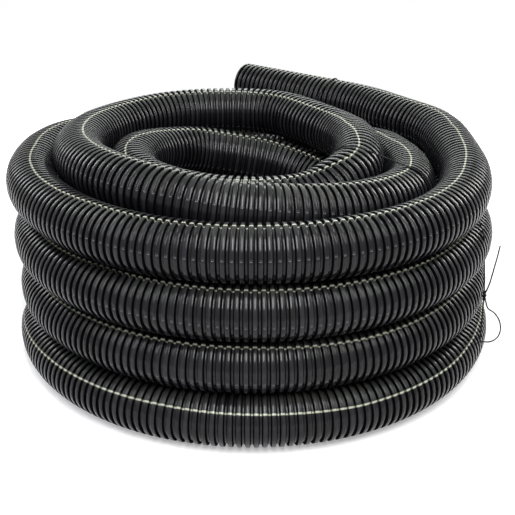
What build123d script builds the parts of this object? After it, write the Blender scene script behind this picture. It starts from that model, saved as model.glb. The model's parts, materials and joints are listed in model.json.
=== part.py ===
"""Coil of corrugated plastic drainage pipe, lying flat and tied with twine.

One length of black pipe is wound in three columns: an outer column of four turns
that runs down from the free end, a middle column that climbs back to the top,
and an inner column that winds down again inside the eye.
One twine holds the bundle together on the right, and one lies round the free end.
+Z is up, the floor is Z = 0, and the origin is under the middle of the pipe's outline.
Sizes are in millimetres and angles in degrees.
"""

import os
from math import acos, atan2, cos, degrees, hypot, inf, radians, sin, tan

from build123d import *

# Pipe wall: crests and valleys by turns outside, plain inside
crest_diameter = 118.0
corrugation_depth = 6.5
wall_thickness = 1.5  # at the floor of a valley
pitch = 16.0  # from one crest to the next
valley_width = 5.5
valley_diameter = crest_diameter - 2 * corrugation_depth
bore_diameter = valley_diameter - 2 * wall_thickness

# Winding: a lay is the distance from one turn to the next, and columns and rows count lays
turn_gap = 0.6
lay = crest_diameter + turn_gap
eye_radius = 243.0  # of the inner column's centreline
rows = 4
outer_columns = (2.07, 2.15, 2.11, 2.22)  # of each outer turn, from the top down
middle_column = 1.08
outer_drop = ((180, 0), (160, 0.05), (135, 0.30), (110, 0.58), (80, 0.88))  # azimuth and share
middle_climb = ((150, 0), (120, 0.05), (90, 0.18), (70, 0.27), (40, 0.68), (10, 0.90), (-30, 1))
drop_lead = 1.0  # how much sooner each drop starts than the one above it
climb_lag = 3.0

# Free end: a straight run that leaves the top turn at the back
free_end_length = 355.0
free_end_azimuth = 64.2  # where it leaves the curve
free_end_column = 2.915
free_end_rise = 0.10  # in lays above the top row
free_end_angle = 142.2  # the way it points, from +X

# Twine round the bundle on the right, and round the free end
twine_diameter = 2.4
twine_clearance = 0.2  # between the twine and what it crosses
twine_seat = twine_diameter / 2 + twine_clearance
knot_diameter = 9.0
tie_azimuth = -23.4
slack_at_slant = 10.3  # more room for the turns that cross the twine aslant
slack_at_top = 1.3
slack_at_squeeze = 0.1
knot_share = 0.46  # of the way from the second outer turn down to the floor
tail_places = ((4.79, -1.62), (4.84, -1.30), (4.88, -1.05), (4.91, -0.81))  # radius in lays, and row
bow_places = ((4.80, -2.12), (4.93, -2.17), (5.04, -2.30), (5.09, -2.48), (5.06, -2.67), (4.93, -2.81))
bow_share = 0.62  # of the way from the knot down to the floor, where the bow is tucked in
end_tie_distance = 296.0  # from the mouth
end_knot_angle = 200.0  # round the free end, from its top
corrugated_past_tie = 30.0  # how far past the twine the corrugation is cut into the middle column

# Stations are an azimuth from +X, a column and a row height below the top row, in lays
top_turn = (
    (35, 2.38, 0.12),
    (0, 2.04, 0.06),
    (-45, 2.11, 0),
    (-90, 2.07, 0),
    (-135, 2.07, 0),
    (-180, 2.26, 0),
    (-200, 2.35, -0.05),
    (-225, 2.35, -0.30),
    (-250, 2.25, -0.58),
    (-280, 2.15, -0.88),
)
floor_crossing = ((190, 2.20), (160, 1.69), (135, 1.36), (110, 1.17), (90, middle_column))
first_middle_turn = (
    (187, 0.97, -3.0),
    (160, 0.60, -3.0),
    (135, 0.31, -2.95),
    (110, 0.13, -2.82),
    (90, 0.02, -2.72),
    (60, 0.01, -2.50),
    (30, 0.01, -2.28),
    (0, 0.07, -2.10),
    (-30, 0.75, -2.0),
    (-60, middle_column, -2.0),
)
top_spiral = (
    (150, 1.08, -1.0),
    (120, 1.08, -0.95),
    (90, 1.10, -0.80),
    (70, 1.12, -0.72),
    (40, 1.14, -0.28),
    (10, 0.93, -0.09),
    (-30, 1.06, 0.03),
    (-90, 1.08, 0.33),
    (-135, 1.19, 0.53),
    (-180, 1.33, 0.42),
    (-225, 1.42, 0.28),
    (-270, 1.15, 0.26),
    (-315, 0.25, 0.27),
    (-360, -0.02, 0.36),
    (-395, 0.07, 0.26),
    (-430, 0.06, 0.06),
    (-470, 0.11, 0.08),
    (-540, 0.31, 0.10),
    (-585, 0.25, -0.15),
    (-630, -0.03, -0.45),
    (-675, -0.02, -0.76),
)
inner_steps = 6  # stations on the last, hidden turn
inner_step = 52.0
inner_top = -0.95


def station(azimuth, column, row):
    """A place on the winding, as its azimuth, its radius and its height."""
    return azimuth, eye_radius + column * lay, crest_diameter / 2 + (rows - 1 + row) * lay


def winding():
    """Every station of the pipe's centreline; the azimuth falls all the way from the free end."""
    places = list(top_turn)
    for row in range(1, rows):
        turn = -360 * row
        column = outer_columns[row]
        places += [(turn + azimuth, column, -row) for azimuth in (50 + row * drop_lead, 0, -90)]
        if row < rows - 1:
            below = outer_columns[row + 1]
            places += [
                (turn + azimuth + row * drop_lead - 360, column + (below - column) * share, -row - share)
                for azimuth, share in outer_drop
            ]
    turn = -360 * rows
    places += [(turn + azimuth, column, 1 - rows) for azimuth, column in floor_crossing]
    places += [(turn + azimuth, middle_column, 1 - rows) for azimuth in (0, -90, -155)]
    places += [(turn - 360 + azimuth, column, row) for azimuth, column, row in first_middle_turn]
    turn -= 360
    places += [(turn + azimuth, middle_column, -2) for azimuth in (-110, -180)]
    places += [
        (turn - 360 - climb_lag + azimuth, middle_column, share - 2) for azimuth, share in middle_climb
    ]
    turn -= 360
    places += [(turn + azimuth, middle_column, -1) for azimuth in (-90, -180)]
    turn -= 360
    places += [(turn + azimuth, column, row) for azimuth, column, row in top_spiral]
    turn -= 720
    places += [
        (turn - inner_step * step, 0, inner_top - inner_step * step / 360) for step in range(inner_steps)
    ]
    return [station(*place) for place in places]


def slope(before, here, after, which):
    """How fast a station's value changes along the winding; zero at a high or low place."""
    rise_in = (here[which] - before[which]) / (before[0] - here[0])
    rise_out = (after[which] - here[which]) / (here[0] - after[0])
    if rise_in * rise_out <= 0:
        return 0.0
    return 2 * rise_in * rise_out / (rise_in + rise_out)


def polar(azimuth, radius, height):
    """A point from its azimuth, radius and height."""
    return Vector(radius * cos(radians(azimuth)), radius * sin(radians(azimuth)), height)


def place(stations, index):
    """The point at a station and the way the pipe runs there."""
    here = stations[index]
    before = stations[max(index - 1, 0)]
    after = stations[min(index + 1, len(stations) - 1)]
    outward = polar(here[0], 1, 0)
    onward = polar(here[0] - 90, 1, 0)
    if before is here or after is here:
        widening, climbing = 0.0, 0.0
    else:
        widening = slope(before, here, after, 1)
        climbing = slope(before, here, after, 2)
    heading = onward * (here[1] * radians(1)) + outward * widening + Vector(0, 0, climbing)
    return polar(*here), heading.normalized()


def joint_of(start, start_way, end, end_way):
    """Where the two arcs that join two places meet."""
    gap = end - start
    a = 2 * (1 - start_way.dot(end_way))
    b = 2 * gap.dot(start_way + end_way)
    c = -gap.dot(gap)
    reach = -c / b if abs(a) < 1e-9 else (-b + (b * b - 4 * a * c) ** 0.5) / (2 * a)
    return (start + start_way * reach + end - end_way * reach) * 0.5


class Run:
    """A straight or curved stretch of the centreline, with the plane across the pipe at its start."""

    def __init__(self, section, length, axis=None, turning=0.0):
        self.section, self.length, self.axis, self.turning = section, length, axis, turning

    def across(self, distance):
        """The plane across the pipe this far along the run."""
        if self.axis is None:
            return self.section.offset(distance)
        turned = self.turning * distance / self.length
        level = Axis((0, 0, 0), self.axis.direction)
        arm = self.section.origin - self.axis.position
        return Plane(
            origin=self.axis.position + arm.rotate(level, turned),
            x_dir=self.section.x_dir.rotate(level, turned),
            z_dir=self.section.z_dir.rotate(level, turned),
        )

    def skin(self, diameter, start, end):
        """The face of a round wall from one distance along the run to another."""
        ring = Edge.make_circle(diameter / 2, self.across(start))
        if self.axis is None:
            return Face.extrude(ring, self.section.z_dir * (end - start))
        return Face.revolve(ring, self.turning * (end - start) / self.length, self.axis)


def centreline():
    """The pipe's runs in order, from the mouth to the hidden end."""
    stations = winding()
    way = Vector(1, 0, 0).rotate(Axis.Z, free_end_angle + 180)
    section = Plane(origin=mouth, x_dir=(0, 0, 1), z_dir=way)
    runs = [Run(section, free_end_length)]
    section = section.offset(free_end_length)
    for index in range(len(stations)):
        there, way_there = place(stations, index)
        middle = joint_of(section.origin, section.z_dir, there, way_there)
        for end in (middle, there):
            chord = end - section.origin
            side = section.z_dir.cross(chord).normalized()
            turning = 2 * section.z_dir.get_angle(chord)
            radius = chord.length / 2 / sin(radians(turning / 2))
            centre = section.origin + side.cross(section.z_dir).normalized() * radius
            runs.append(Run(section, radius * radians(turning), Axis(centre, side), turning))
            section = runs[-1].across(runs[-1].length)
    return runs


def plain_wall(diameter):
    """A round wall of one diameter, from end to end."""
    return [run.skin(diameter, 0, run.length) for run in runs]


def ring_face(section, outer_diameter, inner_diameter):
    """A flat ring across the pipe, for a flank or for the wall where the pipe is cut."""
    outer = Wire([Edge.make_circle(outer_diameter / 2, section)])
    inner = Wire([Edge.make_circle(inner_diameter / 2, section)])
    return Face(outer, [inner])


def corrugated_wall():
    """The outside: crests and valleys with flat flanks, then the plain envelope of the crests."""
    faces = []
    crest = True
    change = crest_width / 2
    at = 0.0
    for run in runs:
        start, end = at, at + run.length
        while end - at > 1e-6:
            stop = min(change, end)
            diameter = crest_diameter if crest else valley_diameter
            faces.append(run.skin(diameter, at - start, stop - start))
            at = stop
            if change - at < 1e-6:
                faces.append(ring_face(run.across(at - start), crest_diameter, valley_diameter))
                crest = not crest
                change += crest_width if crest else valley_width
                if crest and change > corrugated_length:
                    change = inf
        at = end
    return faces, crest_diameter if crest else valley_diameter


def nearest_azimuth(point, azimuth):
    """The point's azimuth, with the whole turns that bring it nearest to another one."""
    here = degrees(atan2(point.Y, point.X))
    return here + 360 * round((azimuth - here) / 360)


def length_at(azimuth):
    """How far along the pipe its centre comes down to an azimuth, counted from the free end."""
    at = free_end_length
    start_azimuth = free_end_azimuth
    for run in runs[1:]:
        end_azimuth = nearest_azimuth(run.across(run.length).origin, start_azimuth)
        if end_azimuth <= azimuth:
            low, high = 0.0, run.length
            while high - low > 0.001:
                middle = (low + high) / 2
                if nearest_azimuth(run.across(middle).origin, azimuth) > azimuth:
                    low = middle
                else:
                    high = middle
            return at + low
        at += run.length
        start_azimuth = end_azimuth
    raise ValueError(f"the pipe never comes down to {azimuth} degrees")


def section_at(distance):
    """The plane across the pipe this far along it."""
    for run in runs:
        if distance <= run.length:
            return run.across(distance)
        distance -= run.length
    return run.across(run.length)


def valley_at(distance):
    """The plane across the pipe in the middle of the nearest valley."""
    first = (crest_width + valley_width) / 2
    return section_at(first + pitch * round((distance - first) / pitch))


def belt(wheels):
    """Corners of a taut line round wheels, each (x, y, radius), below zero where it bends back."""
    lines = []
    for (x, y, radius), (next_x, next_y, next_radius) in zip(wheels[-1:] + wheels, wheels):
        apart = hypot(next_x - x, next_y - y)
        angle = atan2(next_y - y, next_x - x) + acos((radius - next_radius) / apart)
        lines.append((cos(angle), sin(angle), x * cos(angle) + y * sin(angle) + radius))
    corners = []
    for (a, b, c), (d, e, f) in zip(lines, lines[1:] + lines[:1]):
        corners.append(((c * e - b * f) / (a * e - b * d), (a * f - c * d) / (a * e - b * d)))
    return corners


def crest_wheel(azimuth, side=1, slack=0.0):
    """Where the twine bends over the pipe's crests: azimuth, radius, height and bend."""
    section = section_at(length_at(azimuth))
    square = abs(section.z_dir.dot(polar(azimuth - 90, 1, 0)))
    bend = crest_diameter / 2 / square + twine_seat + slack
    return azimuth, hypot(section.origin.X, section.origin.Y), section.origin.Z, side * bend


def valley_wheel(azimuth):
    """Where the twine bends round the floor of the pipe's nearest valley."""
    section = valley_at(length_at(azimuth))
    azimuth = nearest_azimuth(section.origin, azimuth)
    bend = valley_diameter / 2 + twine_seat
    return azimuth, hypot(section.origin.X, section.origin.Y), section.origin.Z, bend


def loose(places):
    """Draws a loose length of twine from the knot, with bends as wide as its runs allow."""
    points = [knot] + places
    bends = []
    for before, here, after in zip(points, points[1:], points[2:]):
        shorter = min((here - before).length, (after - here).length)
        bends.append(0.45 * shorter / tan(radians((here - before).get_angle(after - here) / 2)))
    FilletPolyline(*points, radius=bends)


def in_lays(radius, row):
    """A point beside the knot, from its radius in lays and its height in rows below the top one."""
    return polar(tie_azimuth, radius * lay, crest_diameter / 2 + (rows - 1 + row) * lay)


crest_width = pitch - valley_width
curve_start = polar(
    free_end_azimuth,
    eye_radius + free_end_column * lay,
    crest_diameter / 2 + (rows - 1 + free_end_rise) * lay,
)
mouth = curve_start + Vector(1, 0, 0).rotate(Axis.Z, free_end_angle) * free_end_length
runs = centreline()
corrugated_length = length_at(-360 * rows + tie_azimuth - corrugated_past_tie)

with BuildPart() as drainage_pipe:
    outside, end_diameter = corrugated_wall()
    hidden_end = runs[-1].across(runs[-1].length)
    ends = [
        ring_face(runs[0].section, crest_diameter, bore_diameter),
        ring_face(hidden_end, end_diameter, bore_diameter),
    ]
    add(Solid(Shell(outside + plain_wall(bore_diameter) + ends)))

# The taut twine goes under the outer and middle columns, up through the eye and over the top turns
wheels = [
    valley_wheel(-3 * 360 + tie_azimuth),
    valley_wheel(-4 * 360 + tie_azimuth),
    crest_wheel(-5 * 360 + tie_azimuth, slack=slack_at_slant),
    crest_wheel(-9 * 360 + tie_azimuth - 2),
    crest_wheel(-8 * 360 + tie_azimuth - 8, slack=slack_at_top),
    crest_wheel(-7 * 360 + tie_azimuth - 3, slack=slack_at_squeeze),
    crest_wheel(tie_azimuth, -1),
    crest_wheel(-360 + tie_azimuth),
]
corners = [
    polar(wheel[0], *corner) for wheel, corner in zip(wheels, belt([wheel[1:] for wheel in wheels]))
]
drop = corners[0] - corners[-1]
knot = corners[-1] + drop * knot_share
tucked = knot + (corners[0] - knot) * bow_share

with BuildLine() as taut:
    ends_apart = drop.normalized() * twine_clearance
    bends = [abs(wheel[3]) for wheel in wheels]
    FilletPolyline(knot + ends_apart, *corners, knot - ends_apart, radius=bends)
with BuildLine() as tail:
    loose([in_lays(*place) for place in tail_places])
with BuildLine() as bow:
    loose([in_lays(*place) for place in bow_places] + [tucked])

with BuildPart() as bundle_tie:
    for route in (taut.wire(), tail.wire(), bow.wire()):
        with BuildSketch(Plane(origin=route @ 0, z_dir=route % 0)):
            Circle(twine_diameter / 2)
        sweep(path=route)
    with Locations(knot):
        Sphere(knot_diameter / 2)

# The other twine lies in a valley of the free end, and so does its knot
hoop = valley_at(end_tie_distance)
outward = hoop.x_dir.rotate(Axis((0, 0, 0), hoop.z_dir), end_knot_angle)
end_knot_diameter = valley_width - 2 * twine_clearance

with BuildPart() as end_tie:
    with Locations(hoop):
        Torus(valley_diameter / 2 + twine_seat, twine_diameter / 2)
    with Locations(hoop.origin + outward * (valley_diameter / 2 + twine_clearance + end_knot_diameter / 2)):
        Sphere(end_knot_diameter / 2)

outline = Compound(plain_wall(crest_diameter)).bounding_box()
to_origin = Location((-outline.center().X, -outline.center().Y, -outline.min.Z))

drainage_pipe.part.label = "drainage_pipe"
bundle_tie.part.label = "bundle_tie"
end_tie.part.label = "end_tie"

os.makedirs("parts", exist_ok=True)
export_step(drainage_pipe.part.moved(to_origin), "parts/drainage_pipe.step")
export_step(bundle_tie.part.moved(to_origin), "parts/bundle_tie.step")
export_step(end_tie.part.moved(to_origin), "parts/end_tie.step")
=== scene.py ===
import json
from math import ceil, cos, pi, radians, sin, sqrt, tan

import bpy
import numpy as np
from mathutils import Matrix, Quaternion, Vector


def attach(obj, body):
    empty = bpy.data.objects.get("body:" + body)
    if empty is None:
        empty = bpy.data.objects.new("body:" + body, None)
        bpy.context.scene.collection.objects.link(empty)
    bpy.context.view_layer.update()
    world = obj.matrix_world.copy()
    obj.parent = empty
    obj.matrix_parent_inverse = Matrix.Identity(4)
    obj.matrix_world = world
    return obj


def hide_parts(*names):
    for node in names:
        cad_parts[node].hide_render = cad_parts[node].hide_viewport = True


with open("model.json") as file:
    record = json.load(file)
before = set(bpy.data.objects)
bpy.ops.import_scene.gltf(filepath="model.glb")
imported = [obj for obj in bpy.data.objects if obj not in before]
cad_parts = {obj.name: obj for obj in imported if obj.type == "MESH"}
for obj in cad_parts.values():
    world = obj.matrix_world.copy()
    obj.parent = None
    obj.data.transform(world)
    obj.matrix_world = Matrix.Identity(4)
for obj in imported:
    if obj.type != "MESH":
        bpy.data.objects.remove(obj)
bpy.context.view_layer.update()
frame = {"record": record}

bl_info = {
    "name": "Drainage pipe coil",
    "version": (1, 0, 0),
    "blender": (4, 5, 0),
    "location": "3D View > Sidebar > Pipe coil",
    "description": "Corrugated drainage pipe wound in a coil and tied with twine",
    "category": "Add Mesh",
}

MM = 0.001
ROWS = 4

# How far inside the solid the crests stay, so that the faces never leave its box
INSET = 0.1 * MM
# How deep the wall's inside is made from the mouth, and from the hidden end
MOUTH_DEPTH = 0.64
HIDDEN_END_DEPTH = 0.32
# The part of a groove's depth that is its flank
FLANK = (0.08, 0.97)
# Where the two mould seams lie round the pipe, as shares of a turn from its stripe's far side
SEAMS = (0.7127, 0.2127)
# How much the second outer turn is lifted at the back, in lays
BACK_LIFT = 0.16

# The winding. A station is an azimuth, a column and a row below the top one, both in lays.
OUTER_COLUMNS = (2.07, 2.15, 2.11, 2.22)
MIDDLE_COLUMN = 1.08
FREE_END_AZIMUTH = 64.2
FREE_END_COLUMN = 2.915
FREE_END_ANGLE = 142.2
FREE_END_RISE = 0.10
FREE_END_LENGTH = 355 * MM
OUTER_DROP = ((180, 0), (160, 0.05), (135, 0.30), (110, 0.58), (80, 0.88))
MIDDLE_CLIMB = ((150, 0), (120, 0.05), (90, 0.18), (70, 0.27), (40, 0.68), (10, 0.90), (-30, 1))
TOP_TURN = (
    (35, 2.38, 0.12), (0, 2.04, 0.06), (-45, 2.11, 0), (-90, 2.07, 0), (-135, 2.07, 0), (-180, 2.26, 0),
    (-200, 2.35, -0.05), (-225, 2.35, -0.30), (-250, 2.25, -0.58), (-280, 2.15, -0.88),
)
FLOOR_CROSSING = ((190, 2.20), (160, 1.69), (135, 1.36), (110, 1.17), (90, MIDDLE_COLUMN))
FIRST_MIDDLE_TURN = (
    (187, 0.97, -3.0), (160, 0.60, -3.0), (135, 0.31, -2.95), (110, 0.13, -2.82), (90, 0.02, -2.72),
    (60, 0.01, -2.50), (30, 0.01, -2.28), (0, 0.07, -2.10), (-30, 0.75, -2.0), (-60, MIDDLE_COLUMN, -2.0),
)
TOP_SPIRAL = (
    (150, 1.08, -1.0), (120, 1.08, -0.95), (90, 1.10, -0.80), (70, 1.12, -0.72), (40, 1.14, -0.28),
    (10, 0.93, -0.09), (-30, 1.06, 0.03), (-90, 1.08, 0.33), (-135, 1.19, 0.53), (-180, 1.33, 0.42),
    (-225, 1.42, 0.28), (-270, 1.15, 0.26), (-315, 0.25, 0.27), (-360, -0.02, 0.36), (-395, 0.07, 0.26),
    (-430, 0.06, 0.06), (-470, 0.11, 0.08), (-540, 0.31, 0.10), (-585, 0.25, -0.15), (-630, -0.03, -0.45),
    (-675, -0.02, -0.76),
)

# Where the pieces of the pipe meet, as unwound azimuths
OUTER_ENDS = (-245, -600, -965, -1330)
MIDDLE_END = -2375
TOP_END = -3080

# The stripe's roll round the pipe, in degrees outwards from its top, by unwound azimuth
STRIPE_ROLL = (
    (64, 0), (16, -1), (11, 3), (-3, -1), (-14, -4), (-47, 0), (-88, 4), (-112, 4), (-129, 0), (-142, 6),
    (-155, 7), (-168, 2), (-180, -6), (-300, 4), (-380, 18), (-413, 22), (-450, 19), (-470, 14),
    (-485, 10), (-500, 15), (-740, 28), (-784, 34), (-797, 31), (-810, 27), (-850, 26), (-1060, 50),
    (-1087, 50), (-1100, 46), (-1110, 49), (-1120, 54), (-1147, 56), (-1162, 51), (-1190, 47), (-1211, 49),
    (-1225, 52), (-1244, 60), (-1400, 50), (-2495, -15), (-2505, -13), (-2514, -6), (-2525, -2),
    (-2538, 1), (-2550, 9), (-2568, 7), (-2580, 0), (-2594, -9), (-2608, -14), (-2630, -16), (-2645, -10),
    (-2660, -6), (-2681, -12), (-2770, -14), (-2800, -21),
    (-2840, -20), (-2868, -20), (-2890, -5), (-2905, 8), (-2917, 15), (-2928, 9), (-2945, 2), (-3037, 26),
    (-3055, 10), (-3075, -15), (-3140, -13), (-3400, 0),
)

# The taut twine's corners, in metres, each with the bend it goes round there
BUNDLE_CORNERS = (
    (0.5182, -0.3353, 0.0051, 0.0539), (0.3178, -0.2531, 0.0051, 0.0539), (0.2290, -0.2123, 0.1363, 0.0799),
    (0.1672, -0.1925, 0.2817, 0.0605), (0.1671, -0.2147, 0.5276, 0.0621), (0.3861, -0.3047, 0.4634, 0.0606),
    (0.3978, -0.2790, 0.3590, 0.0450), (0.4985, -0.2780, 0.3570, 0.0100), (0.5016, -0.3155, 0.3475, 0.0200),
    (0.5034, -0.3338, 0.3360, 0.0200), (0.5048, -0.3396, 0.3163, 0.0400), (0.5071, -0.3406, 0.3071, 0.0500),
    (0.5080, -0.3409, 0.2975, 0.0500), (0.5072, -0.3405, 0.2860, 0.0400),
)
BUNDLE_KNOT = (0.5164, -0.3357, 0.1945)
TAIL_PLACES = (
    (0.5243, -0.3401, 0.2227), (0.5297, -0.3424, 0.2606), (0.5341, -0.3443, 0.2903), (0.5373, -0.3457, 0.3187),
)
BOW_PLACES = (
    (0.5254, -0.3406, 0.1634), (0.5395, -0.3467, 0.1574), (0.5515, -0.3519, 0.1420), (0.5569, -0.3542, 0.1207),
    (0.5537, -0.3528, 0.0981), (0.5395, -0.3467, 0.0815), (0.5175, -0.3354, 0.0771),
)
END_TIE_DISTANCE = 296 * MM


class PipeSizes(bpy.types.PropertyGroup):
    crest_diameter: bpy.props.FloatProperty(
        name="Crest diameter", description="Across the pipe, over its crests",
        default=118 * MM, min=0.02, unit="LENGTH",
    )
    turn_gap: bpy.props.FloatProperty(
        name="Turn gap", description="Between one turn and the next", default=0.6 * MM, unit="LENGTH",
    )
    pitch: bpy.props.FloatProperty(
        name="Pitch", description="From one crest to the next", default=16 * MM, min=0.002, unit="LENGTH",
    )
    valley_width: bpy.props.FloatProperty(
        name="Valley width", description="Of the groove between crests, at its floor",
        default=5.5 * MM, unit="LENGTH",
    )
    shoulder: bpy.props.FloatProperty(
        name="Shoulder", description="How far a crest's edge is rounded", default=2.3 * MM, unit="LENGTH",
    )
    foot: bpy.props.FloatProperty(
        name="Foot", description="How far the foot of a flank is rounded", default=1.0 * MM, unit="LENGTH",
    )
    eye_radius: bpy.props.FloatProperty(
        name="Eye radius", description="Of the inner column's centreline", default=243 * MM, unit="LENGTH",
    )
    depth: bpy.props.FloatProperty(
        name="Depth", description="From a crest down to the valley floor", default=6.5 * MM, unit="LENGTH",
    )
    wall: bpy.props.FloatProperty(
        name="Wall", description="Thickness of the pipe's wall", default=1.1 * MM, unit="LENGTH",
    )
    sides: bpy.props.IntProperty(
        name="Sides", description="Faces round the pipe where it shows", default=26, min=8,
    )


class PipeColours(bpy.types.PropertyGroup):
    plastic: bpy.props.FloatVectorProperty(
        name="Plastic", description="The pipe's black", default=(0.0060, 0.0060, 0.0072),
        subtype="COLOR", min=0, max=1,
    )
    worn: bpy.props.FloatVectorProperty(
        name="Worn plastic", description="Where a crest is rubbed paler", default=(0.014, 0.014, 0.017),
        subtype="COLOR", min=0, max=1,
    )
    dust: bpy.props.FloatVectorProperty(
        name="Dust", description="The thin dust on surfaces that face up", default=(0.055, 0.059, 0.051),
        subtype="COLOR", min=0, max=1,
    )
    stripe: bpy.props.FloatVectorProperty(
        name="Stripe", description="The thin line along the pipe", default=(0.44, 0.46, 0.36),
        subtype="COLOR", min=0, max=1,
    )
    # Painted highlight: the vents' rims are pale because they are lit, most on their lower side.
    vent_rim_highlight: bpy.props.FloatVectorProperty(
        name="Vent rim", description="The pale rims of the small vents on the crests",
        default=(0.13, 0.13, 0.14), subtype="COLOR", min=0, max=1,
    )
    twine: bpy.props.FloatVectorProperty(
        name="Twine", description="The twine's black", default=(0.006, 0.006, 0.007),
        subtype="COLOR", min=0, max=1,
    )


class TwineSizes(bpy.types.PropertyGroup):
    diameter: bpy.props.FloatProperty(
        name="Diameter", description="Across the twine, over its strands", default=3.8 * MM, unit="LENGTH",
    )
    lay: bpy.props.FloatProperty(
        name="Lay", description="Along the twine, for one whole turn of its strands",
        default=8 * MM, unit="LENGTH",
    )
    step: bpy.props.FloatProperty(
        name="Step", description="Between the rings of a strand's mesh", default=1.4 * MM, unit="LENGTH",
    )


class StageSizes(bpy.types.PropertyGroup):
    camera_distance: bpy.props.FloatProperty(
        name="Camera distance", description="From the coil's axis, along the floor",
        default=2.208842, unit="LENGTH",
    )
    camera_height: bpy.props.FloatProperty(
        name="Camera height", description="Above the floor", default=1.180472, unit="LENGTH",
    )
    camera_pitch: bpy.props.FloatProperty(
        name="Camera pitch", description="How far the camera looks down", default=0.4227, unit="ROTATION",
    )
    camera_side: bpy.props.FloatProperty(
        name="Camera side", description="To the right of the coil's axis", default=9.44 * MM, unit="LENGTH",
    )
    floor: bpy.props.FloatProperty(
        name="Floor", description="Along each side of the floor", default=3.6, unit="LENGTH",
    )
    floor_glow: bpy.props.FloatProperty(
        name="Floor glow", description="The floor's own white near the coil, for the camera and gloss alone",
        default=0.36,
    )
    fill: bpy.props.FloatProperty(
        name="Fill", description="Strength of the soft light from all round", default=0.09,
    )
    lens: bpy.props.FloatProperty(
        name="Lens", description="Focal length on a 36 mm sensor", default=69.70, min=1, unit="CAMERA",
    )


def station(azimuth, column, row, sizes):
    """A place on the winding, as azimuth, radius and height."""
    lay = sizes.crest_diameter + sizes.turn_gap
    return azimuth, sizes.eye_radius + column * lay, sizes.crest_diameter / 2 + (ROWS - 1 + row) * lay


def winding(sizes):
    """All the stations of the winding, in the pipe's order, round the coil's own axis."""
    places = list(TOP_TURN)
    for row in range(1, ROWS):
        turn = -360 * row
        column = OUTER_COLUMNS[row]
        lift = BACK_LIFT if row == 1 else 0
        places += [
            (turn + azimuth, column, lifted - row)
            for azimuth, lifted in ((50 + row, lift), (0, 0.12 * lift), (-90, 0))
        ]
        if row < ROWS - 1:
            below = OUTER_COLUMNS[row + 1]
            places += [
                (turn + azimuth + row - 360, column + (below - column) * fall, -row - fall)
                for azimuth, fall in OUTER_DROP
            ]
    turn = -360 * ROWS
    places += [(turn + azimuth, column, 1 - ROWS) for azimuth, column in FLOOR_CROSSING]
    places += [(turn - azimuth, MIDDLE_COLUMN, 1 - ROWS) for azimuth in (0, 90, 155)]
    places += [(turn - 360 + azimuth, column, row) for azimuth, column, row in FIRST_MIDDLE_TURN]
    start = turn - 360
    places += [(start - step, MIDDLE_COLUMN, -2) for step in (110, 180)]
    places += [(start - 363 + azimuth, MIDDLE_COLUMN, climb - 2) for azimuth, climb in MIDDLE_CLIMB]
    start = turn - 720
    places += [(start - step, MIDDLE_COLUMN, -1) for step in (90, 180)]
    turn = -360 * (2 * ROWS - 1)
    places += [(turn + azimuth, column, row) for azimuth, column, row in TOP_SPIRAL]
    places += [(turn - 720 - 52 * step, 0, -0.95 - step * 52 / 360) for step in range(6)]
    return [station(*place, sizes) for place in places]


def slope(before, here, after, which):
    """How fast a station's value changes along the winding; zero at a high or low place."""
    rise_in = (here[which] - before[which]) / (before[0] - here[0])
    rise_out = (after[which] - here[which]) / (here[0] - after[0])
    if rise_in * rise_out <= 0:
        return 0.0
    return 2 * rise_in * rise_out / (rise_in + rise_out)


def point_and_way(stations, index):
    """The point at a station and the way the pipe runs there."""
    here = stations[index]
    before = stations[max(index - 1, 0)]
    after = stations[min(index + 1, len(stations) - 1)]
    angle = radians(here[0])
    outward = Vector((cos(angle), sin(angle), 0))
    onward = Vector((sin(angle), -cos(angle), 0))
    widening = climbing = 0.0
    if before is not here and after is not here:
        widening = slope(before, here, after, 1)
        climbing = slope(before, here, after, 2)
    heading = onward * here[1] * radians(1) + outward * widening + Vector((0, 0, climbing))
    return outward * here[1] + Vector((0, 0, here[2])), heading.normalized()


def joint_of(start, start_way, end, end_way):
    """Where the two arcs that join two places meet."""
    gap = end - start
    a = 2 * (1 - start_way.dot(end_way))
    b = 2 * gap.dot(start_way + end_way)
    c = -gap.dot(gap)
    reach = -c / b if abs(a) < 1e-9 else (sqrt(b * b - 4 * a * c) - b) / (2 * a)
    return (start + start_way * reach + end - end_way * reach) * 0.5


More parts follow.
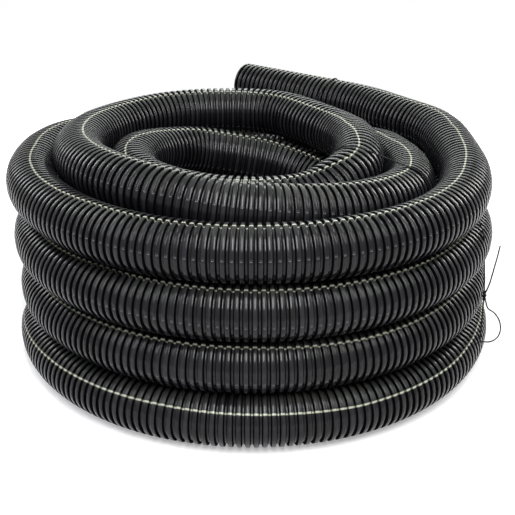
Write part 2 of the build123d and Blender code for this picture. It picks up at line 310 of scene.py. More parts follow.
class Route:
    """The pipe's centreline: points, ways and azimuths at even steps, in metres."""

    def __init__(self, sizes, step=0.003):
        stations = winding(sizes)
        way = Vector((cos(radians(FREE_END_ANGLE)), sin(radians(FREE_END_ANGLE)), 0)) * -1
        azimuth, radius, height = station(FREE_END_AZIMUTH, FREE_END_COLUMN, FREE_END_RISE, sizes)
        here = Vector((radius * cos(radians(azimuth)), radius * sin(radians(azimuth)), height))
        length = FREE_END_LENGTH
        points, ways, lengths = [], [], []
        for share in np.arange(0, 1, step / length):
            points.append(here - way * length * (1 - share))
            ways.append(way.copy())
            lengths.append(length * share)
        at = length
        for index in range(len(stations)):
            there, way_there = point_and_way(stations, index)
            middle = joint_of(here, way, there, way_there)
            for start, end in ((here, middle), (middle, there)):
                chord = end - start
                side = way.cross(chord).normalized()
                turning = 2 * way.angle(chord)
                radius = chord.length / 2 / sin(turning / 2)
                centre = start + side.cross(way).normalized() * radius
                pieces = max(int(radius * turning / step), 1)
                for piece in range(pieces):
                    turned = Quaternion(side, turning * piece / pieces)
                    points.append(centre + turned @ (start - centre))
                    ways.append(turned @ way)
                    lengths.append(at + radius * turning * piece / pieces)
                way = Quaternion(side, turning) @ way
                at += radius * turning
            here, way = there, way_there
        points.append(here)
        ways.append(way)
        lengths.append(at)
        self.points = np.array([tuple(p) for p in points])
        self.ways = np.array([tuple(w) for w in ways])
        self.lengths = np.array(lengths)
        self.length = at
        turns = np.unwrap(np.arctan2(self.points[:, 1], self.points[:, 0]))
        self.azimuths = np.degrees(turns)
        mouth = next(m["pos_m"] for m in frame["record"]["mounts"] if m["name"] == "mouth_bore")
        self.shift = np.array(mouth) - self.points[0]
        self.points = self.points + self.shift

    def at(self, lengths):
        """Points and ways at these lengths along the pipe."""
        points = np.stack([np.interp(lengths, self.lengths, self.points[:, k]) for k in range(3)], 1)
        ways = np.stack([np.interp(lengths, self.lengths, self.ways[:, k]) for k in range(3)], 1)
        return points, ways / np.linalg.norm(ways, axis=1)[:, None]

    def length_at(self, azimuth):
        """How far along the pipe its unwound azimuth comes down to this."""
        return float(np.interp(-azimuth, -self.azimuths, self.lengths))

    def azimuth_at(self, lengths):
        """The pipe's unwound azimuths at these lengths along it."""
        return np.interp(lengths, self.lengths, self.azimuths)


def corrugation(sizes, fine):
    """Half a pitch of the wall's outline: how far from a crest's middle and how deep each ring lies."""
    edge, depth = (sizes.pitch - sizes.valley_width) / 2, sizes.depth
    shoulder, foot = sizes.shoulder, sizes.foot
    if not fine:
        return [(edge - 0.4 * shoulder, 0.1 * depth), (edge + 0.8 * foot, depth)]
    return [
        (edge - shoulder, 0.01 * depth),
        (edge - 0.66 * shoulder, 0.06 * depth),
        (edge - 0.42 * shoulder, 0.20 * depth),
        (edge + 0.05 * foot, 0.76 * depth),
        (edge + 0.50 * foot, 0.95 * depth),
        (edge + 1.10 * foot, depth),
    ]


def pipe_mesh(name, route, sizes, start, end, fine=True, inside=None):
    """A mesh of the corrugated wall from one length along the pipe to another."""
    half = corrugation(sizes, fine)
    rings = [(-along, deep) for along, deep in reversed(half)] + [(0, 0)] + half
    crest_radius = sizes.crest_diameter / 2 - INSET
    first, last = round(start / sizes.pitch), round(end / sizes.pitch)
    outline = [(k * sizes.pitch + at, deep) for k in range(first, last + 1) for at, deep in rings]
    outline = [ring for ring in outline if first * sizes.pitch <= ring[0] <= last * sizes.pitch]
    lengths, depths = np.array(outline).T
    sides = sizes.sides if fine else 18
    verts, uvs, quads, in_groove = [], [], [], []

    def skin(depths, lengths, outwards):
        """Adds one side of the wall, and tells its first corner and how many rings it has."""
        points, ways = route.at(lengths)
        up = np.array([0, 0, 1.0]) - ways * ways[:, 2:3]
        up /= np.linalg.norm(up, axis=1)[:, None]
        out = np.cross(up, ways)
        azimuths = route.azimuth_at(lengths)
        roll = np.interp(-azimuths, [-a for a, _ in STRIPE_ROLL], [r for _, r in STRIPE_ROLL])
        count = len(lengths)
        base = sum(len(v) for v in verts)
        turn = np.radians(roll[:, None] + 180 + 360 * np.arange(sides) / sides)
        radius = (crest_radius - depths)[:, None, None]
        ring = up[:, None] * np.cos(turn)[..., None] + out[:, None] * np.sin(turn)[..., None]
        verts.append((points[:, None] + ring * radius).reshape(-1, 3))
        i, j = np.meshgrid(np.arange(count - 1), np.arange(sides), indexing="ij")
        a = base + i * sides + j
        b = base + i * sides + (j + 1) % sides
        c, d = b + sides, a + sides
        faces = np.stack([a, b, c, d] if outwards else [d, c, b, a], -1).reshape(-1, 4)
        u0, u1 = lengths[i] / sizes.pitch, lengths[i + 1] / sizes.pitch
        v0, v1 = j / sides, (j + 1) / sides
        corners = [(u0, v0), (u0, v1), (u1, v1), (u1, v0)]
        if not outwards:
            corners.reverse()
        uvs.append(np.stack([np.stack(corner, -1) for corner in corners], -2).reshape(-1, 2))
        quads.append(faces)
        deep = (depths[:-1] + depths[1:]) / 2 / sizes.depth
        in_groove.append(np.repeat((deep > FLANK[0]) & (deep < FLANK[1]) & outwards, sides))
        return base, count

    outer = skin(depths, lengths, True)
    if inside:
        low, high = inside
        chosen = (lengths >= low - 1e-9) & (lengths <= high + 1e-9)
        inner = skin(depths[chosen] + sizes.wall, lengths[chosen], False)
        at_start = abs(low - start) < 1e-6
        ring_out = outer[0] if at_start else outer[0] + (outer[1] - 1) * sides
        ring_in = inner[0] if at_start else inner[0] + (inner[1] - 1) * sides
        j = np.arange(sides)
        k = (j + 1) % sides
        rim = [ring_out + k, ring_out + j, ring_in + j, ring_in + k]
        if not at_start:
            rim.reverse()
        quads.append(np.stack(rim, -1))
        u = np.full(sides, lengths[0 if at_start else -1] / sizes.pitch)
        corners = [(u, (j + 1) / sides), (u, j / sides), (u, j / sides), (u, (j + 1) / sides)]
        if not at_start:
            corners.reverse()
        uvs.append(np.stack([np.stack(corner, -1) for corner in corners], -2).reshape(-1, 2))
        in_groove.append(np.zeros(sides, bool))
    return mesh_piece(name, *(np.concatenate(part) for part in (verts, quads, uvs, in_groove)))


def mesh_piece(name, points, faces, coords, second=None):
    """An object of quads, with a map of how far along and how far round each corner lies.

    The faces named by second take the piece's second material.
    """
    mesh = bpy.data.meshes.new(name)
    mesh.vertices.add(len(points))
    mesh.vertices.foreach_set("co", points.ravel())
    mesh.loops.add(faces.size)
    mesh.loops.foreach_set("vertex_index", faces.ravel().astype(np.int32))
    mesh.polygons.add(len(faces))
    mesh.polygons.foreach_set("loop_start", np.arange(0, faces.size, 4, dtype=np.int32))
    if second is not None:
        mesh.polygons.foreach_set("material_index", second.astype(np.int32))
    layer = mesh.uv_layers.new(name="along_and_round")
    layer.data.foreach_set("uv", coords.ravel())
    mesh.update(calc_edges=True)
    mesh.validate()
    mesh.shade_smooth()
    piece = bpy.data.objects.new(name, mesh)
    bpy.context.scene.collection.objects.link(piece)
    return piece


def rounded(corners):
    """Points along a line whose corners, each (point, bend), are rounded to their bends."""
    line = [corners[0][0]]
    for (before, _), (here, bend), (after, _) in zip(corners, corners[1:], corners[2:]):
        way_in, way_out = (here - before).normalized(), (after - here).normalized()
        turning = way_in.angle(way_out)
        start = here - way_in * bend * tan(turning / 2)
        side = way_in.cross(way_out).normalized()
        centre = start + side.cross(way_in) * bend
        pieces = max(ceil(turning / radians(4)), 2)
        for piece in range(pieces + 1):
            line.append(centre + Quaternion(side, turning * piece / pieces) @ (start - centre))
    line.append(corners[-1][0])
    return np.array([tuple(p) for p in line])


def loose(places, share=0.45):
    """The same for a loose length, whose bends are as wide as its runs allow."""
    points = [Vector(p) for p in places]
    corners = [(points[0], 0.0)]
    for before, here, after in zip(points, points[1:], points[2:]):
        shorter = min((here - before).length, (after - here).length)
        turning = (here - before).angle(after - here)
        corners.append((here, share * shorter / tan(turning / 2)))
    return rounded(corners + [(points[-1], 0.0)])


def even(line, step):
    """Points at even steps along a line, with the ways it runs there and how far along they are."""
    lengths = np.concatenate([[0], np.cumsum(np.linalg.norm(np.diff(line, axis=0), axis=1))])
    at = np.linspace(0, lengths[-1], max(int(lengths[-1] / step), 4))
    points = np.stack([np.interp(at, lengths, line[:, k]) for k in range(3)], 1)
    ways = np.gradient(points, axis=0)
    return points, ways / np.linalg.norm(ways, axis=1)[:, None], at


def strands(lines, sizes, plies=3, sides=5):
    """Points, quads and map of twine laid along each line: round strands wound round each other."""
    strand_radius = sizes.diameter / 2 / (1 + 1 / sin(pi / plies))
    winding_radius = sizes.diameter / 2 - strand_radius
    verts, quads, uvs = [], [], []
    base = 0
    for line in lines:
        points, ways, at = even(line, sizes.step)
        across = np.zeros_like(points)
        first = Vector(ways[0]).orthogonal().normalized()
        for index, way in enumerate(ways):
            first = (first - Vector(way) * first.dot(Vector(way))).normalized()
            across[index] = first
        beside = np.cross(ways, across)
        for ply in range(plies):
            turn = 2 * pi * (at / sizes.lay + ply / plies)
            arm = across * np.cos(turn)[:, None] + beside * np.sin(turn)[:, None]
            middle = points + arm * winding_radius
            round_it = 2 * pi * np.arange(sides) / sides
            ring = across[:, None] * np.cos(round_it)[:, None] + beside[:, None] * np.sin(round_it)[:, None]
            verts.append((middle[:, None] + ring * strand_radius).reshape(-1, 3))
            i, j = np.meshgrid(np.arange(len(at) - 1), np.arange(sides), indexing="ij")
            a = base + i * sides + j
            b = base + i * sides + (j + 1) % sides
            quads.append(np.stack([a, b, b + sides, a + sides], -1).reshape(-1, 4))
            u0, u1, v0, v1 = at[i] / sizes.lay, at[i + 1] / sizes.lay, j / sides, (j + 1) / sides
            uvs.append(np.stack([
                np.stack(corner, -1) for corner in [(u0, v0), (u0, v1), (u1, v1), (u1, v0)]
            ], -2).reshape(-1, 2))
            base += len(at) * sides
    return np.concatenate(verts), np.concatenate(quads), np.concatenate(uvs)


def knot_line(middle, size, up, out):
    """The line of a tight overhand knot, size across, seen flat from the way called out."""
    side = up.cross(out)
    line = []
    for turn in np.linspace(0, 2 * pi, 73):
        a = sin(turn) + 2 * sin(2 * turn)
        b = cos(turn) - 2 * cos(2 * turn)
        line.append(middle + (side * a + up * b) * size / 6 - out * sin(3 * turn) * size / 5)
    return np.array([tuple(p) for p in line])


def add(tree, kind, inputs=None, **settings):
    """A new node with its settings, its sockets set to values or joined to other sockets."""
    made = tree.nodes.new("ShaderNode" + kind)
    for name, value in settings.items():
        setattr(made, name, value)
    for name, value in (inputs or {}).items():
        if isinstance(value, bpy.types.NodeSocket):
            tree.links.new(value, made.inputs[name])
        else:
            made.inputs[name].default_value = value
    return made


def times(tree, a, b):
    """One value multiplied by another."""
    return add(tree, "Math", {0: a, 1: b}, operation="MULTIPLY").outputs[0]


def more(tree, a, b):
    """One value added to another."""
    return add(tree, "Math", {0: a, 1: b}, operation="ADD").outputs[0]


def band(tree, value, full, none):
    """A soft mask of a value: one at full, and nothing from none on."""
    ends = {"Value": value, "From Min": none, "From Max": full}
    return add(tree, "MapRange", ends, interpolation_type="SMOOTHSTEP").outputs["Result"]


def away(tree, value, centre):
    """How far a value is from a centre, either way."""
    less = add(tree, "Math", {0: value, 1: centre}, operation="SUBTRACT").outputs[0]
    return add(tree, "Math", {0: less}, operation="ABSOLUTE").outputs[0]


def mixed(tree, factor, a, b):
    """A colour that goes from one to another with a factor."""
    made = add(tree, "Mix", data_type="RGBA")
    for socket, value in (("Factor", factor), ("A", a), ("B", b)):
        if isinstance(value, bpy.types.NodeSocket):
            tree.links.new(value, made.inputs[socket])
        else:
            made.inputs[socket].default_value = (*value, 1) if socket != "Factor" else value
    return made.outputs["Result"]


def group(name, inputs, outputs):
    """A new node group with these sockets, by name and kind, and its two end nodes."""
    tree = bpy.data.node_groups.new(name, "ShaderNodeTree")
    for socket, (kind, value) in inputs.items():
        made = tree.interface.new_socket(socket, in_out="INPUT", socket_type="NodeSocket" + kind)
        made.default_value = value
    for socket, kind in outputs.items():
        tree.interface.new_socket(socket, in_out="OUTPUT", socket_type="NodeSocket" + kind)
    return tree, tree.nodes.new("NodeGroupInput"), tree.nodes.new("NodeGroupOutput")


def dust_group():
    """Thin dust that lies on what faces up, and pale flecks anywhere."""
    if "Dust and flecks" in bpy.data.node_groups:
        return bpy.data.node_groups["Dust and flecks"]
    tree, given, out = group(
        "Dust and flecks",
        {"Patch size": ("Float", 12.0), "Fleck size": ("Float", 420.0), "Amount": ("Float", 0.6)},
        {"Dust": "Float", "Flecks": "Float"},
    )
    surface = add(tree, "NewGeometry")
    place = surface.outputs["Position"]
    facing = add(tree, "SeparateXYZ", {0: surface.outputs["Normal"]}).outputs["Z"]
    upward = band(tree, facing, 0.98, 0.45)
    patches = add(tree, "TexNoise", {
        "Vector": place, "Scale": given.outputs["Patch size"], "Detail": 4.0, "Roughness": 0.6,
    }).outputs["Fac"]
    uneven = band(tree, patches, 0.75, 0.25)
    tree.links.new(times(tree, times(tree, upward, uneven), given.outputs["Amount"]), out.inputs["Dust"])
    flecks = add(tree, "TexNoise", {
        "Vector": place, "Scale": given.outputs["Fleck size"], "Detail": 1.0,
    }).outputs["Fac"]
    tree.links.new(band(tree, flecks, 0.80, 0.73), out.inputs["Flecks"])
    return tree


def fibre_group():
    """Fine lines drawn out along one way of a surface's map: moulding marks or fibres."""
    if "Drawn lines" in bpy.data.node_groups:
        return bpy.data.node_groups["Drawn lines"]
    tree, given, out = group(
        "Drawn lines",
        {"Map": ("Vector", (0, 0, 0)), "Across": ("Float", 10.0), "Along": ("Float", 1.0)},
        {"Lines": "Float", "Broad lines": "Float"},
    )
    split = add(tree, "SeparateXYZ", {0: given.outputs["Map"]})
    wide = times(tree, split.outputs["X"], given.outputs["Across"])
    long = times(tree, split.outputs["Y"], given.outputs["Along"])
    place = add(tree, "CombineXYZ", {"X": wide, "Y": long}).outputs[0]
    fine = add(tree, "TexNoise", {"Vector": place, "Scale": 1.0, "Detail": 3.0, "Roughness": 0.65})
    broad = add(tree, "TexNoise", {"Vector": place, "Scale": 0.23, "Detail": 2.0})
    tree.links.new(fine.outputs["Fac"], out.inputs["Lines"])
    tree.links.new(broad.outputs["Fac"], out.inputs["Broad lines"])
    return tree


def placed(tree, made, inputs):
    """A node group put into a material with its own values."""
    return add(tree, "Group", inputs, node_tree=made).outputs


def vent_marks(tree, from_crest, roll, sizes):
    """Masks of the small vents on the crests along both mould seams: their holes, whose dark is painted shade,
    and their lower rims, lit as painted highlights.

    The places are in millimetres from a vent's middle.
    """
    vents, rims = 0.0, 0.0
    along = times(tree, from_crest, sizes.pitch / MM)
    for seam in SEAMS:
        down = add(tree, "Math", {0: roll, 1: seam}, operation="SUBTRACT").outputs[0]
        across = times(tree, down, pi * sizes.crest_diameter / MM)
        place = add(tree, "CombineXYZ", {"X": along, "Y": across}).outputs[0]
        reach = add(tree, "VectorMath", {0: place}, operation="LENGTH").outputs["Value"]
        vents = more(tree, times(tree, band(tree, reach, 0.9, 1.5), 0.8), vents)
        # Painted highlight: the rims are brightest on their lower side, as lit.
        lower = more(tree, 0.25, times(tree, band(tree, down, 0.0045, 0.0), 0.75))
        rims = more(tree, times(tree, band(tree, away(tree, reach, 2.0), 0.35, 0.95), lower), rims)
    return vents, rims


def pipe_surface_group():
    """The pipe's look: black plastic, rubbed and with dust, with its stripe and its vents; the grooves' flanks
    and the vents' holes carry painted shade, the vents' rims painted highlights.
    """
    if "Pipe surface" in bpy.data.node_groups:
        return bpy.data.node_groups["Pipe surface"]
    colours = bpy.context.scene.pipe_colours
    tree, given, out = group(
        "Pipe surface", {"Map": ("Vector", (0, 0, 0))},
        {"Color": "Color", "Roughness": "Float", "Height": "Float"},
    )
    split = add(tree, "SeparateXYZ", {0: given.outputs["Map"]})
    along, roll = split.outputs["X"], split.outputs["Y"]
    whole = add(tree, "Math", {0: along}, operation="ROUND").outputs[0]
    from_crest = away(tree, along, whole)
    crest = band(tree, from_crest, 0.215, 0.275)
    valley = band(tree, from_crest, 0.42, 0.385)
    # The crests and valleys; the flanks between them are the part that gets painted shade.
    open_parts = more(tree, crest, valley)
    lines = placed(tree, fibre_group(), {"Map": given.outputs["Map"], "Across": 6.5, "Along": 4.0})
    dust = placed(tree, dust_group(), {"Patch size": 9.0, "Fleck size": 300.0, "Amount": 0.75})

    rubbed = times(tree, crest, band(tree, lines["Broad lines"], 0.62, 0.42))
    # Painted shade: the flanks between crests and valleys take the plastic at 0.12 of its colour, for the
    # shade that falls in the grooves.
    colour = mixed(tree, open_parts, [0.12 * c for c in colours.plastic], colours.plastic)
    colour = mixed(tree, rubbed, colour, colours.worn)
    colour = mixed(tree, times(tree, dust["Dust"], open_parts), colour, colours.dust)
    colour = mixed(tree, times(tree, dust["Flecks"], 0.35), colour, colours.dust)
    stripe = band(tree, away(tree, roll, 0.5), 0.0034, 0.0074)
    # Painted shade: the stripe is dimmed on the flanks as well.
    stripe = times(tree, stripe, more(tree, 0.38, times(tree, open_parts, 0.60)))
    streaky = band(tree, lines["Lines"], 0.75, 0.15)
    stripe_colour = mixed(tree, streaky, [0.7 * c for c in colours.stripe], colours.stripe)
    colour = mixed(tree, stripe, colour, stripe_colour)
    vents, rims = vent_marks(tree, from_crest, roll, bpy.context.scene.pipe_sizes)
    # Painted shade in the vents' holes, and a painted highlight on their rims.
    colour = mixed(tree, vents, colour, (0.002, 0.002, 0.002))
    colour = mixed(tree, rims, colour, colours.vent_rim_highlight)
    tree.links.new(colour, out.inputs["Color"])

    rough = more(tree, 0.90, times(tree, open_parts, -0.71))
    rough = more(tree, rough, times(tree, more(tree, lines["Lines"], -0.5), 0.5))
    rough = more(tree, rough, times(tree, dust["Dust"], 0.22))
    tree.links.new(rough, out.inputs["Roughness"])

    height = more(tree, times(tree, lines["Lines"], 0.45), times(tree, lines["Broad lines"], 0.5))
    height = more(tree, height, times(tree, rims, 1.2))
    tree.links.new(height, out.inputs["Height"])
    return tree


def twine_surface_group():
    """The twine's look: black strands of drawn fibre, paler where it faces up, from dust and from painted
    sheen.
    """
    if "Twine surface" in bpy.data.node_groups:
        return bpy.data.node_groups["Twine surface"]
    colours = bpy.context.scene.pipe_colours
    tree, given, out = group(
        "Twine surface", {"Map": ("Vector", (0, 0, 0)), "Dust and sheen": ("Float", 0.5)},
        {"Color": "Color", "Roughness": "Float", "Height": "Float"},
    )
    dust_and_sheen = given.outputs["Dust and sheen"]
    lines = placed(tree, fibre_group(), {"Map": given.outputs["Map"], "Across": 3.0, "Along": 9.0})["Lines"]
    # This dust mask also paints sheen: on the end tie it makes the upward faces pale, as if lit.
    dust = placed(tree, dust_group(), {"Patch size": 60.0, "Fleck size": 900.0, "Amount": dust_and_sheen})["Dust"]
    paler = times(tree, lines, more(tree, 0.2, times(tree, dust_and_sheen, 0.4)))
    colour = mixed(tree, paler, colours.twine, colours.worn)
    colour = mixed(tree, dust, colour, [2.2 * c for c in colours.dust])
    tree.links.new(colour, out.inputs["Color"])
    tree.links.new(more(tree, 0.5, times(tree, lines, 0.25)), out.inputs["Roughness"])
    tree.links.new(lines, out.inputs["Height"])
    return tree


def surfaced(name, make_group, gloss, relief, values=None):
    """A material whose look is a node group's; relief is the strength and depth of its bumps."""
    found = bpy.data.materials.get(name)
    if found:
        return found
    material = bpy.data.materials.new(name)
    material.use_nodes = True
    tree = material.node_tree
    shader = tree.nodes["Principled BSDF"]
    shader.inputs["Specular IOR Level"].default_value = gloss
    uv = add(tree, "UVMap", uv_map="along_and_round").outputs["UV"]
    look = placed(tree, make_group(), {"Map": uv, **(values or {})})
    tree.links.new(look["Color"], shader.inputs["Base Color"])
    tree.links.new(look["Roughness"], shader.inputs["Roughness"])
    bump = add(tree, "Bump", {"Strength": relief[0], "Distance": relief[1], "Height": look["Height"]})
    tree.links.new(bump.outputs["Normal"], shader.inputs["Normal"])
    return material


def plastic(name, gloss):
    """The pipe's material, more or less glossy."""
    return surfaced(name, pipe_surface_group, gloss, (0.75, 0.35 * MM))


def twine(name, dust_and_sheen):
    """The twine's material, with more or less dust and painted sheen on what faces up."""
    return surfaced(name, twine_surface_group, 0.15, (0.6, 0.15 * MM), {"Dust and sheen": dust_and_sheen})


# The pipe's route, once it is made
_route = {}


def pipe_route():
    """The one route that all the pieces of the pipe share."""
    if "pipe" not in _route:
        _route["pipe"] = Route(bpy.context.scene.pipe_sizes)
    return _route["pipe"]


def finished(piece, material, node):
    """Gives a piece its material and sets it on the frame in the place of its node."""
    piece.data.materials.append(material)
    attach(piece, "root")
    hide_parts(node)


def wall_piece(name, start, end, fine=True, inside=None):
    """Makes one stretch of the pipe's wall, whose grooves have a duller second material, a shaded copy of the
    plastic that keeps them dark as painted shade.
    """
    sizes = bpy.context.scene.pipe_sizes
    piece = pipe_mesh(name, pipe_route(), sizes, start, end, fine, inside)
    finished(piece, plastic("black_plastic_pipe", 0.20), "drainage_pipe")
    # Painted shade: the flanks take a less glossy copy of the plastic, so they reflect little and stay dark.
    piece.data.materials.append(plastic("black_plastic_groove_shade", 0.03))


def whole_pitches(length):
    """The nearest length that is a whole number of pitches."""
    pitch = bpy.context.scene.pipe_sizes.pitch
    return round(length / pitch) * pitch


class PIPE_OT_outer_turns(bpy.types.Operator):
    """Make the outer turns, with the free end"""

    bl_idname = "pipe_coil.outer_turns"
    bl_label = "Outer turns"

    def execute(self, context):
        route = pipe_route()
        start = 0.0
        for index, azimuth in enumerate(OUTER_ENDS):
            end = whole_pitches(route.length_at(azimuth))
            inside = (0.0, MOUTH_DEPTH) if index == 0 else None
            wall_piece(f"outer_turn_{index + 1}", start, end, True, inside)
            start = end
        return {"FINISHED"}


class PIPE_OT_middle_turns(bpy.types.Operator):
    """Make the lower middle turns, which the others hide"""

    bl_idname = "pipe_coil.middle_turns"
    bl_label = "Middle turns"

    def execute(self, context):
        route = pipe_route()
        start = whole_pitches(route.length_at(OUTER_ENDS[-1]))
        end = whole_pitches(route.length_at(MIDDLE_END))
        wall_piece("middle_turns", start, end, False)
        return {"FINISHED"}


class PIPE_OT_top_turns(bpy.types.Operator):
    """Make the top turns, which wind inwards into the eye"""

    bl_idname = "pipe_coil.top_turns"
    bl_label = "Top turns"

    def execute(self, context):
        route = pipe_route()
        start = whole_pitches(route.length_at(MIDDLE_END))
        end = whole_pitches(route.length_at(TOP_END))
        wall_piece("top_turns", start, end)
        return {"FINISHED"}


class PIPE_OT_inner_turns(bpy.types.Operator):
    """Make the inner turns, down to the hidden end"""

    bl_idname = "pipe_coil.inner_turns"
    bl_label = "Inner turns"

    def execute(self, context):
        route = pipe_route()
        start = whole_pitches(route.length_at(TOP_END))
        pitch = context.scene.pipe_sizes.pitch
        end = int(route.length / pitch) * pitch
        wall_piece("inner_turns", start, end, True, (end - HIDDEN_END_DEPTH, end))
        return {"FINISHED"}


class PIPE_OT_bundle_tie(bpy.types.Operator):
    """Make the taut twine round the bundle, with its knot, its tail and its bow"""

    bl_idname = "pipe_coil.bundle_tie"
    bl_label = "Bundle tie"

    def execute(self, context):
        sizes = context.scene.twine_sizes
        knot = Vector(BUNDLE_KNOT)
        corners = [(Vector(corner[:3]), corner[3]) for corner in BUNDLE_CORNERS]
        up = (corners[-1][0] - corners[0][0]).normalized()
        out = Vector((knot.x - pipe_route().shift[0], knot.y - pipe_route().shift[1], 0)).normalized()
        ends = up * 1.5 * MM
        lines = [
            rounded([(knot - ends, 0.0)] + corners + [(knot + ends, 0.0)]),
            loose([BUNDLE_KNOT, *TAIL_PLACES]),
            loose([BUNDLE_KNOT, *BOW_PLACES]),
            knot_line(knot + up * 3 * MM, 15 * MM, up, out),
            knot_line(knot - up * 6 * MM, 12 * MM, up, out),
        ]
        piece = mesh_piece("bundle_tie_twine", *strands(lines, sizes))
        finished(piece, twine("black_twine", 0.06), "bundle_tie")
        return {"FINISHED"}


class PIPE_OT_end_tie(bpy.types.Operator):
    """Make the twine that lies aslant round the free end, over its crests"""

    bl_idname = "pipe_coil.end_tie"
    bl_label = "End tie"

    def execute(self, context):
        sizes = context.scene.twine_sizes
        route = pipe_route()
        radius = context.scene.pipe_sizes.crest_diameter / 2 + sizes.diameter / 2
        line = []
        for turn in np.arange(-160, 201, 3):
            slant = 30 * MM * (cos(radians(turn + 15)) - cos(radians(65)))
            points, ways = route.at(np.array([END_TIE_DISTANCE + slant]))
            way = Vector(ways[0])
            up = Vector((0, 0, 1)) - way * way.z
            out = up.normalized().cross(way)
            arm = up.normalized() * cos(radians(turn)) + out * sin(radians(turn))
            line.append(points[0] + np.array(arm) * radius)
        knot = Vector(line[-1])
        outward = knot - Vector(line[len(line) // 2])
        onward = Vector(line[-2]) - knot
        lines = [np.array(line), knot_line(knot, 5.5 * MM, onward.normalized(), outward.normalized())]
        piece = mesh_piece("end_tie_twine", *strands(lines, sizes))
        # Painted sheen: the end tie is pale where it faces up, standing in for the light it reflects.
        finished(piece, twine("twine_dust_and_painted_sheen", 1.0), "end_tie")
        return {"FINISHED"}


def seen_white(nodes, links, other):
    """A strength of one for the camera and for gloss and glass, and another for the light itself."""
    path = nodes.new("ShaderNodeLightPath")
    seen = path.outputs["Is Camera Ray"]
    for kind in ("Is Glossy Ray", "Is Transmission Ray"):
        both = nodes.new("ShaderNodeMath")
        both.operation = "MAXIMUM"
        links.new(seen, both.inputs[0])
        links.new(path.outputs[kind], both.inputs[1])
        seen = both.outputs[0]
    strength = nodes.new("ShaderNodeMapRange")
    strength.inputs["To Min"].default_value = other[0]
    strength.inputs["To Max"].default_value = other[1]
    links.new(seen, strength.inputs["Value"])
    return strength.outputs["Result"]


# Lamps: place, target, width and height, power and colour
LAMPS = {
    "lamp_front": ((0.0, -1.75, 2.45), (0, 0, 0.25), (0.65, 2.1), 92, (0.98, 0.97, 1.0)),
    "lamp_left": ((-2.0, -1.2, 2.0), (-0.2, -0.1, 0.3), (0.4, 1.6), 20, (0.97, 0.97, 1.0)),
    "lamp_right": ((1.9, -1.1, 2.3), (0.3, -0.2, 0.3), (0.4, 1.6), 26, (1.0, 1.0, 0.98)),
    "lamp_far_left": ((-2.2, 1.2, 1.7), (-0.3, -0.1, 0.3), (0.5, 1.6), 26, (0.97, 0.98, 1.0)),
    "lamp_far_right": ((2.2, 1.2, 1.7), (0.3, -0.1, 0.3), (0.5, 1.6), 44, (1.0, 1.0, 0.98)),
    "lamp_back": ((0.3, 2.6, 1.5), (0, 0, 0.4), (2.4, 0.6), 20, (0.94, 1.0, 0.96)),
}


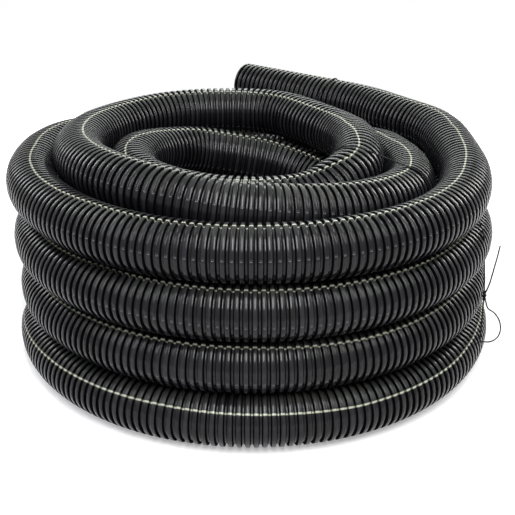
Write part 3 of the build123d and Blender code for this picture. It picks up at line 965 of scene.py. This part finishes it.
class PIPE_OT_stage(bpy.types.Operator):
    """Make the floor, the lamps, the white surroundings and the camera"""

    bl_idname = "pipe_coil.stage"
    bl_label = "Stage"

    def execute(self, context):
        scene = context.scene
        sizes = scene.stage_sizes
        scene.view_settings.view_transform = "Standard"
        half = sizes.floor / 2
        mesh = bpy.data.meshes.new("floor")
        corners = [(-half, -half, 0), (half, -half, 0), (half, half, 0), (-half, half, 0)]
        mesh.from_pydata(corners, [], [(0, 1, 2, 3)])
        floor = bpy.data.objects.new("floor", mesh)
        scene.collection.objects.link(floor)
        material = bpy.data.materials.new("floor_white")
        material.use_nodes = True
        nodes, links = material.node_tree.nodes, material.node_tree.links
        shader = nodes["Principled BSDF"]
        shader.inputs["Base Color"].default_value = (0.8, 0.8, 0.8, 1)
        shader.inputs["Roughness"].default_value = 0.9
        shader.inputs["Emission Color"].default_value = (1, 1, 1, 1)
        tree = material.node_tree
        place = add(tree, "NewGeometry").outputs["Position"]
        from_middle = add(tree, "VectorMath", {0: place}, operation="LENGTH").outputs["Value"]
        glow = add(tree, "MapRange", {
            "Value": from_middle, "From Min": 0.9, "From Max": 1.7, "To Min": sizes.floor_glow, "To Max": 1.0,
        }).outputs["Result"]
        # None of it lies under the coil, where it would shine up through the gaps
        glow = times(tree, glow, band(tree, from_middle, 0.60, 0.48))
        links.new(times(tree, glow, seen_white(nodes, links, (0.0, 1.0))), shader.inputs["Emission Strength"])
        mesh.materials.append(material)

        world = bpy.data.worlds.new("surroundings")
        scene.world = world
        world.use_nodes = True
        nodes, links = world.node_tree.nodes, world.node_tree.links
        background = nodes["Background"]
        background.inputs["Color"].default_value = (1, 1, 1, 1)
        links.new(seen_white(nodes, links, (sizes.fill, 1.0)), background.inputs["Strength"])

        for name, (place, target, size, power, colour) in LAMPS.items():
            data = bpy.data.lights.new(name, "AREA")
            data.shape = "RECTANGLE"
            data.size, data.size_y = size
            data.energy = power
            data.color = colour
            lamp = bpy.data.objects.new(name, data)
            lamp.location = place
            lamp.rotation_euler = (Vector(target) - Vector(place)).to_track_quat("-Z", "Y").to_euler()
            scene.collection.objects.link(lamp)

        data = bpy.data.cameras.new("camera")
        data.lens = sizes.lens
        data.sensor_width = 36
        camera = bpy.data.objects.new("camera", data)
        shift = pipe_route().shift
        camera.location = (shift[0] + sizes.camera_side, shift[1] - sizes.camera_distance, sizes.camera_height)
        camera.rotation_euler = (radians(90) - sizes.camera_pitch, 0, 0)
        scene.collection.objects.link(camera)
        scene.camera = camera
        return {"FINISHED"}


class PIPE_PT_coil(bpy.types.Panel):
    """Sizes, colours and pieces of the coil"""

    bl_label = "Pipe coil"
    bl_space_type = "VIEW_3D"
    bl_region_type = "UI"
    bl_category = "Pipe coil"

    def draw(self, context):
        for setting in GROUPS:
            group = getattr(context.scene, setting)
            for name in group.__annotations__:
                self.layout.prop(group, name)
        for operator in OPERATORS:
            self.layout.operator(operator.bl_idname)


GROUPS = {
    "pipe_sizes": PipeSizes, "twine_sizes": TwineSizes, "pipe_colours": PipeColours, "stage_sizes": StageSizes,
}
OPERATORS = (
    PIPE_OT_outer_turns, PIPE_OT_middle_turns, PIPE_OT_top_turns, PIPE_OT_inner_turns,
    PIPE_OT_bundle_tie, PIPE_OT_end_tie, PIPE_OT_stage,
)


def register():
    for group in GROUPS.values():
        bpy.utils.register_class(group)
    for name, group in GROUPS.items():
        setattr(bpy.types.Scene, name, bpy.props.PointerProperty(type=group))
    for operator in OPERATORS:
        bpy.utils.register_class(operator)
    bpy.utils.register_class(PIPE_PT_coil)


def unregister():
    bpy.utils.unregister_class(PIPE_PT_coil)
    for operator in reversed(OPERATORS):
        bpy.utils.unregister_class(operator)
    for name, group in GROUPS.items():
        delattr(bpy.types.Scene, name)
        bpy.utils.unregister_class(group)


def main():
    register()
    bpy.ops.pipe_coil.outer_turns()
    bpy.ops.pipe_coil.middle_turns()
    bpy.ops.pipe_coil.top_turns()
    bpy.ops.pipe_coil.inner_turns()
    bpy.ops.pipe_coil.bundle_tie()
    bpy.ops.pipe_coil.end_tie()
    bpy.ops.pipe_coil.stage()


if __name__ == "__main__":
    main()
